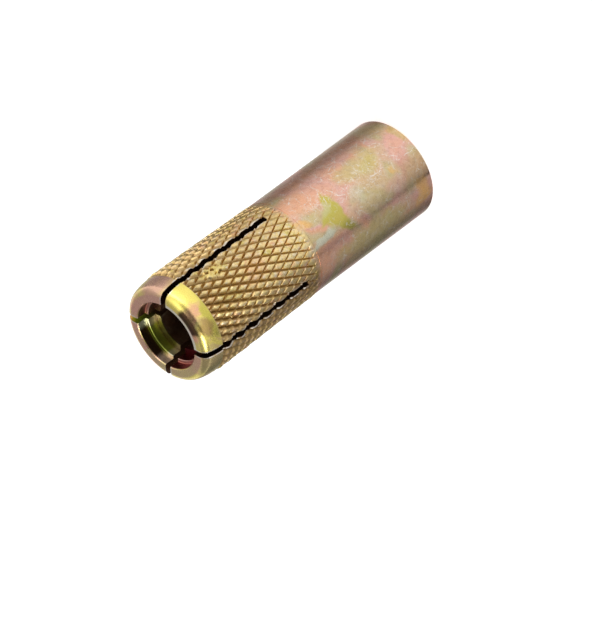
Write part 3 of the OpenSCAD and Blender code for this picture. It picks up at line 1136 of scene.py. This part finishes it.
def white_world():
    """White where it is seen directly, and softer light for the rest."""
    world = bpy.data.worlds.new("studio")
    bpy.context.scene.world = world
    world.use_nodes = True
    nodes = world.node_tree.nodes
    links = world.node_tree.links
    lit = nodes["Background"]
    lit.inputs["Color"].default_value = (1, 1, 1, 1)
    lit.inputs["Strength"].default_value = 0.45
    shown = nodes.new("ShaderNodeBackground")
    shown.inputs["Color"].default_value = (1, 1, 1, 1)
    shown.inputs["Strength"].default_value = 1.0
    mix = nodes.new("ShaderNodeMixShader")
    links.new(seen_directly(nodes, links), mix.inputs["Fac"])
    links.new(lit.outputs[0], mix.inputs[1])
    links.new(shown.outputs[0], mix.inputs[2])
    links.new(mix.outputs[0], nodes["World Output"].inputs["Surface"])


def floor_finish():
    """White floor that still takes a shadow: part of its white is its own light, seen directly."""
    material = bpy.data.materials.new("studio_floor")
    material.use_nodes = True
    nodes = material.node_tree.nodes
    links = material.node_tree.links
    shader = nodes["Principled BSDF"]
    shader.inputs["Base Color"].default_value = (0.8, 0.8, 0.8, 1)
    shader.inputs["Roughness"].default_value = 0.9
    shader.inputs["Specular IOR Level"].default_value = 0.0
    glow = nodes.new("ShaderNodeEmission")
    glow.inputs["Color"].default_value = (1, 1, 1, 1)
    glow.inputs["Strength"].default_value = 0.62
    black = nodes.new("ShaderNodeEmission")
    black.inputs["Strength"].default_value = 0.0
    pick = nodes.new("ShaderNodeMixShader")
    total = nodes.new("ShaderNodeAddShader")
    links.new(seen_directly(nodes, links), pick.inputs["Fac"])
    links.new(black.outputs[0], pick.inputs[1])
    links.new(glow.outputs[0], pick.inputs[2])
    links.new(shader.outputs[0], total.inputs[0])
    links.new(pick.outputs[0], total.inputs[1])
    links.new(total.outputs[0], nodes["Material Output"].inputs["Surface"])
    return material


def reflection_finish(name):
    """Plain light whose level is painted on the mesh's points."""
    material = bpy.data.materials.new(name)
    material.use_nodes = True
    nodes = material.node_tree.nodes
    nodes.remove(nodes["Principled BSDF"])
    level = nodes.new("ShaderNodeVertexColor")
    level.layer_name = "level"
    glow = nodes.new("ShaderNodeEmission")
    material.node_tree.links.new(level.outputs["Color"], glow.inputs["Color"])
    material.node_tree.links.new(glow.outputs[0], nodes["Material Output"].inputs["Surface"])
    return material


def reflector(name, verts, faces, levels):
    """A stage card that only mirror-like rays see."""
    piece = make_object(name, verts, faces)
    layer = piece.data.color_attributes.new("level", "FLOAT_COLOR", "POINT")
    layer.data.foreach_set("color", [c for v in levels for c in (v, v, v, 1.0)])
    piece.data.materials.append(reflection_finish(name))
    piece.visible_camera = False
    piece.visible_diffuse = False
    piece.visible_shadow = False
    piece.visible_transmission = False


# Grey levels round the anchor's foot, by the angle of the sleeve's side that reflects them
FLOOR_LEVELS = (
    (-90, 0.70), (-80, 0.60), (-70, 0.36), (-58, 0.30), (-50, 0.44), (-40, 0.80), (-30, 1.00), (-15, 1.00),
    (0, 0.92), (10, 0.82), (18, 0.62), (24, 0.43), (26.5, 0.35), (28, 0.10), (29, 0.10), (30.5, 0.48),
    (42, 0.45), (52, 0.36), (62, 0.18), (72, 0.14), (80, 0.52), (90, 0.78),
)

# Soft-edged patches of sky that only reflections see: name, heading from the camera's side, half-width, lower
# and upper edge, all in degrees, grey level, and distance in millimetres
SKY_CARDS = (
    ("front_reflector", -8, 32, 20, 78, 0.10, 320),
    ("back_reflector", 180, 60, 12, 62, 0.42, 320),
    ("side_reflector", -98, 40, 2, 66, 0.26, 300),
)
SKY_EDGE = 12
SKY_HEIGHT = 45


def floor_reflector(facing, body_r, reach=260, height=0.05):
    """A sheet over the floor, ruled by the lines in which the sleeve's side mirrors the camera's rays."""
    angles = np.linspace(-90, 90, 181)
    shades = np.interp(angles, [a for a, _ in FLOOR_LEVELS], [v for _, v in FLOOR_LEVELS])
    verts = []
    levels = []
    for angle, level in zip(angles, shades):
        start = facing - math.radians(angle)
        away = facing - 2 * math.radians(angle)
        for t in (-0.3, reach):
            verts.append((
                body_r * math.cos(start) + t * math.cos(away),
                body_r * math.sin(start) + t * math.sin(away),
                height,
            ))
            levels.append(float(level))
    faces = [(2 * i, 2 * i + 1, 2 * i + 3, 2 * i + 2) for i in range(len(angles) - 1)]
    reflector("floor_reflector", verts, faces, levels)


def sky_reflector(name, centre, half_width, low, high, level, distance, steps=16):
    """One patch of sky. It fades to white over its soft edge."""
    verts = []
    levels = []
    for i in range(steps + 1):
        for j in range(steps + 1):
            side = (i / steps * 2 - 1) * (half_width + SKY_EDGE)
            lift = low - SKY_EDGE + (high - low + 2 * SKY_EDGE) * j / steps
            out = min(max(abs(side) - half_width, low - lift, lift - high, 0) / SKY_EDGE, 1)
            fade = out ** 2 * (3 - 2 * out)
            around = centre + math.radians(side)
            above = math.radians(lift)
            verts.append((
                distance * math.cos(around) * math.cos(above),
                distance * math.sin(around) * math.cos(above),
                SKY_HEIGHT + distance * math.sin(above),
            ))
            levels.append(level + (1 - level) * fade)
    row = steps + 1
    faces = [
        (i * row + j, (i + 1) * row + j, (i + 1) * row + j + 1, i * row + j + 1)
        for i in range(steps) for j in range(steps)
    ]
    reflector(name, verts, faces, levels)


def soft_lamp(name, place, aim, size, watts):
    """A square lamp turned towards a point."""
    data = bpy.data.lights.new(name, "AREA")
    data.shape = "SQUARE"
    data.size = size
    data.energy = watts
    lamp = bpy.data.objects.new(name, data)
    lamp.location = place
    lamp.rotation_euler = (Vector(aim) - Vector(place)).to_track_quat("-Z", "Y").to_euler()
    bpy.context.scene.collection.objects.link(lamp)


def camera_axes(studio):
    """Right, up and back vectors of the camera, rolled so that the standing anchor lies as in the picture."""
    azimuth, elevation = studio.azimuth, studio.elevation
    level = Vector((math.cos(azimuth), math.sin(azimuth), 0))
    back = Vector((
        math.sin(azimuth) * math.cos(elevation),
        -math.cos(azimuth) * math.cos(elevation),
        math.sin(elevation),
    ))
    rise = back.cross(level)
    roll = studio.mouth_heading
    right = math.cos(roll) * rise + math.cos(roll - math.pi / 2) * level
    up = math.sin(roll) * rise + math.sin(roll - math.pi / 2) * level
    return right, up, back


def add_camera(studio, middle, right, up, back):
    """A long lens that takes in the picture's side at the anchor."""
    sensor = 36
    data = bpy.data.cameras.new("camera")
    data.sensor_width = sensor
    data.lens = sensor * studio.distance / studio.picture_side
    data.clip_start = 0.05
    data.clip_end = 20
    camera = bpy.data.objects.new("camera", data)
    aim = middle + right * studio.shift_right - up * studio.shift_down
    turned = Matrix((right, up, back)).transposed().to_4x4()
    camera.matrix_world = Matrix.Translation(aim + back * studio.distance) @ turned
    bpy.context.scene.collection.objects.link(camera)
    bpy.context.scene.camera = camera


# Operators


class ANCHOR_OT_stage(Operator):
    """Set up the floor, the light and the camera"""

    bl_idname = "anchor.stage"
    bl_label = "Studio"

    def execute(self, context):
        scene = context.scene
        scene.view_settings.view_transform = "Standard"
        right, up, back = camera_axes(scene.anchor_studio)
        middle = Vector((0, 0, scene.anchor_sleeve.length / 2))
        add_camera(scene.anchor_studio, middle, right, up, back)

        white_world()
        half = 600
        corners = [(-half, -half, 0), (half, -half, 0), (half, half, 0), (-half, half, 0)]
        floor = make_object("floor", corners, [(0, 1, 2, 3)])
        floor.data.materials.append(floor_finish())

        facing = math.atan2(back.y, back.x)
        floor_reflector(facing, scene.anchor_sleeve.body_d / MM / 2)
        for name, turn, half_width, low, high, level, distance in SKY_CARDS:
            sky_reflector(name, facing + math.radians(turn), half_width, low, high, level, distance)

        ahead = Vector((back.x, back.y, 0)).normalized()
        aside = Vector((ahead.y, -ahead.x, 0))
        edge_light = ahead * 0.338 + aside * 0.729 + Vector((0, 0, 0.595))
        soft_lamp("key", middle + up * 0.5 + back * 0.35 - right * 0.1, middle, 0.45, 1.2)
        soft_lamp("edge_lamp", middle + edge_light * 0.5, middle, 0.10, 1.2)
        soft_lamp("fill", middle + back * 0.7 - right * 0.5 - up * 0.1, middle, 0.5, 0.8)
        return {"FINISHED"}


class ANCHOR_OT_sleeve(Operator):
    """Model the sleeve: turned body, knurl, thread, bore, taper, mouth and slots"""

    bl_idname = "anchor.sleeve"
    bl_label = "Sleeve"

    def execute(self, context):
        colours = context.scene.anchor_finish
        sizes = millimetres(context.scene.anchor_sleeve)
        knurl = millimetres(context.scene.anchor_knurl)
        sleeve = lathe("anchor_sleeve", sleeve_outline(sizes, knurl), 288)
        band = knurled_band(sizes, knurl, colours.shown_side)
        bore = lathe("bore_tool", bore_outline(sizes), 192)
        thread = thread_tool(sizes)
        slots = slot_tool(sizes, knurl)
        cut(sleeve, band, "UNION")
        cut(sleeve, bore, "DIFFERENCE")
        cut(sleeve, thread, "DIFFERENCE")
        cut(sleeve, slots, "DIFFERENCE")
        apply_cuts(sleeve, (band, bore, thread, slots), math.radians(32))
        if len(sleeve.data.polygons) < 1000:
            raise RuntimeError("the sleeve's cuts failed")
        sleeve.data.materials.clear()
        sleeve.data.materials.append(yellow_zinc(colours, sizes, knurl))
        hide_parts("sleeve")
        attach(sleeve, "sleeve")
        return {"FINISHED"}


def plug_outline(sleeve, plug):
    """Land, cone and rounded ends of the plug, whose foot rests on the ledge above the thread."""
    land_r = sleeve.plug_bore_d / 2 - plug.clearance
    slope = (sleeve.plug_bore_d - sleeve.waist_d) / 2 / sleeve.taper_l
    tip_r = land_r - slope * (plug.length - plug.land_l)
    edge = plug.edge_r
    tip = plug.tip_r
    blend = 0.05
    outline = [(0, 0)]
    outline += arc((land_r - edge, edge), edge, -90, 0, 5)
    outline += [(land_r, plug.land_l - blend), (land_r - slope * 2 * blend, plug.land_l + blend)]
    outline += arc((tip_r + slope * tip - tip, plug.length - tip), tip, 6, 90, 6)
    outline += [(0, plug.length)]
    return [(r, sleeve.thread_l + z) for r, z in outline]


class ANCHOR_OT_plug(Operator):
    """Model the expander plug, resting on the ledge above the thread"""

    bl_idname = "anchor.plug"
    bl_label = "Expander plug"

    def execute(self, context):
        scene = context.scene
        outline = plug_outline(millimetres(scene.anchor_sleeve), millimetres(scene.anchor_plug))
        plug = lathe("anchor_plug", outline, 128)
        plug.data.shade_smooth()
        plug.data.set_sharp_from_angle(angle=math.radians(40))
        plug.data.materials.append(turned_steel(scene.anchor_finish))
        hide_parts("expander_plug")
        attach(plug, "plug")
        return {"FINISHED"}


# Settings in the scene: name, class and the panel's label
GROUPS = (
    ("anchor_sleeve", SleeveSizes, "Sleeve"),
    ("anchor_knurl", KnurlSizes, "Knurl"),
    ("anchor_plug", PlugSizes, "Plug"),
    ("anchor_finish", FinishColours, "Finish"),
    ("anchor_studio", StudioSettings, "Studio"),
)


class ANCHOR_PT_panel(Panel):
    """Sizes and steps of the anchor"""

    bl_label = "Drop-in anchor"
    bl_idname = "ANCHOR_PT_panel"
    bl_space_type = "VIEW_3D"
    bl_region_type = "UI"
    bl_category = "Anchor"

    def draw(self, context):
        layout = self.layout
        for group, _, label in GROUPS:
            box = layout.box()
            box.label(text=label)
            settings = getattr(context.scene, group)
            for prop in settings.bl_rna.properties:
                if prop.identifier not in {"rna_type", "name"}:
                    box.prop(settings, prop.identifier)
        for operator in (ANCHOR_OT_stage, ANCHOR_OT_sleeve, ANCHOR_OT_plug):
            layout.operator(operator.bl_idname)


CLASSES = tuple(group for _, group, _ in GROUPS) + (
    ANCHOR_OT_stage,
    ANCHOR_OT_sleeve,
    ANCHOR_OT_plug,
    ANCHOR_PT_panel,
)


def register():
    for cls in CLASSES:
        bpy.utils.register_class(cls)
    for name, group, _ in GROUPS:
        setattr(bpy.types.Scene, name, PointerProperty(type=group))


def unregister():
    for name, _, _ in GROUPS:
        delattr(bpy.types.Scene, name)
    for cls in reversed(CLASSES):
        bpy.utils.unregister_class(cls)


def main():
    register()
    bpy.ops.anchor.stage()
    bpy.ops.anchor.sleeve()
    bpy.ops.anchor.plug()


if __name__ == "__main__":
    main()
